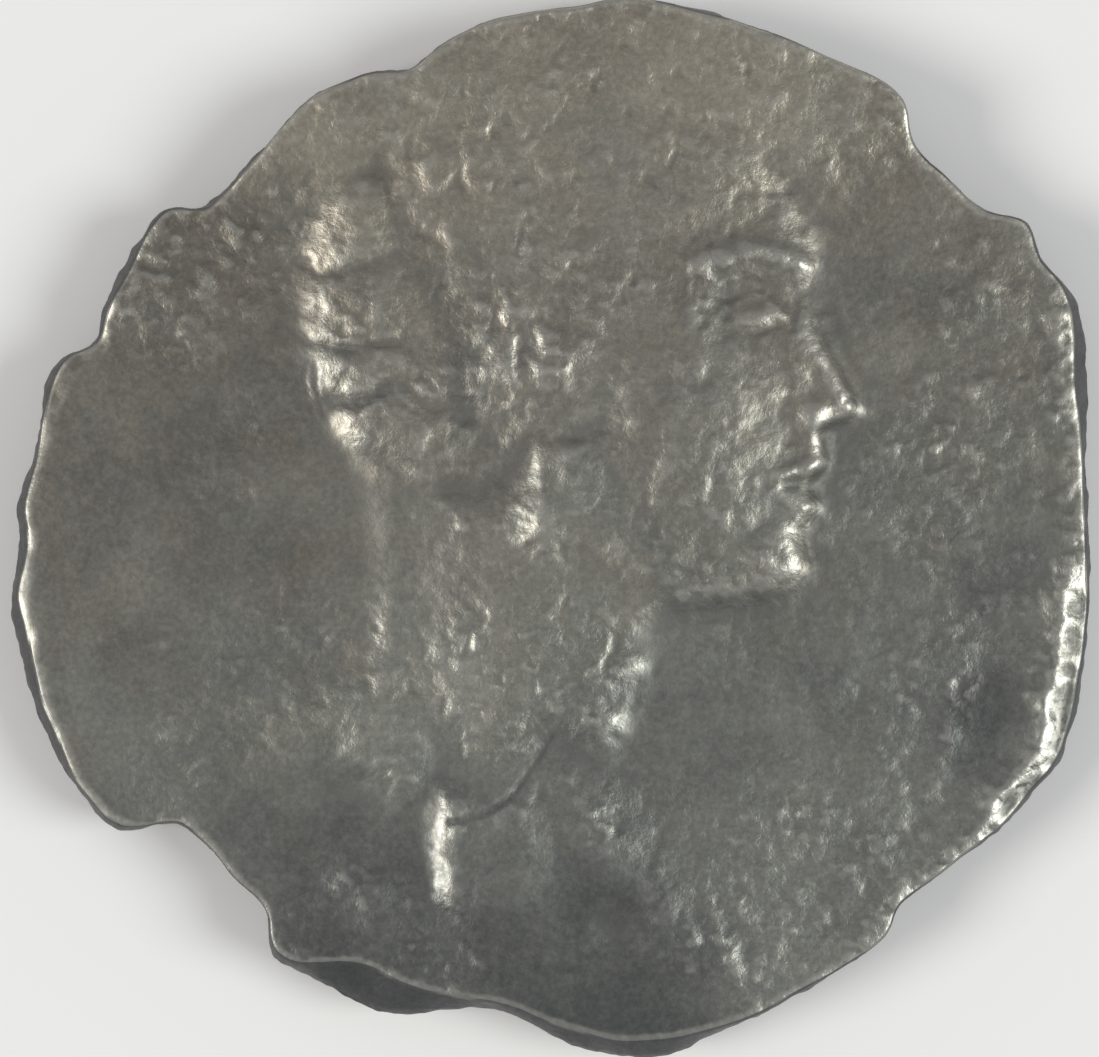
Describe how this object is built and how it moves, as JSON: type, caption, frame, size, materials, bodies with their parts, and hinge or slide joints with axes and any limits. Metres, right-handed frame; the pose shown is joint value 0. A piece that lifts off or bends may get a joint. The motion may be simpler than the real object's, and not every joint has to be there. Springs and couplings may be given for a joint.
{
  "type": "struck silver coin",
  "caption": "Small hand-struck silver coin, thin and unevenly round with a chipped edge, a worn draped bust on its face and a standing figure on its back.",
  "frame": {"origin": "under the middle of the bounding box, on the plane that the coin rests on, which is the plane of the worn-flat high spots of the reverse", "axes": "+Z out of the obverse, +X to the right of the obverse, the way the bust looks, +Y to the top of the obverse"},
  "size_m": [0.018, 0.0176, 0.0018],
  "materials": {
    "silver": "worn struck silver, soft satin under a thin grey-brown patina, brighter on the high spots and darker on the edge"
  },
  "bodies": {
    "root": {"coin": "silver"}
  },
  "joints": []
}
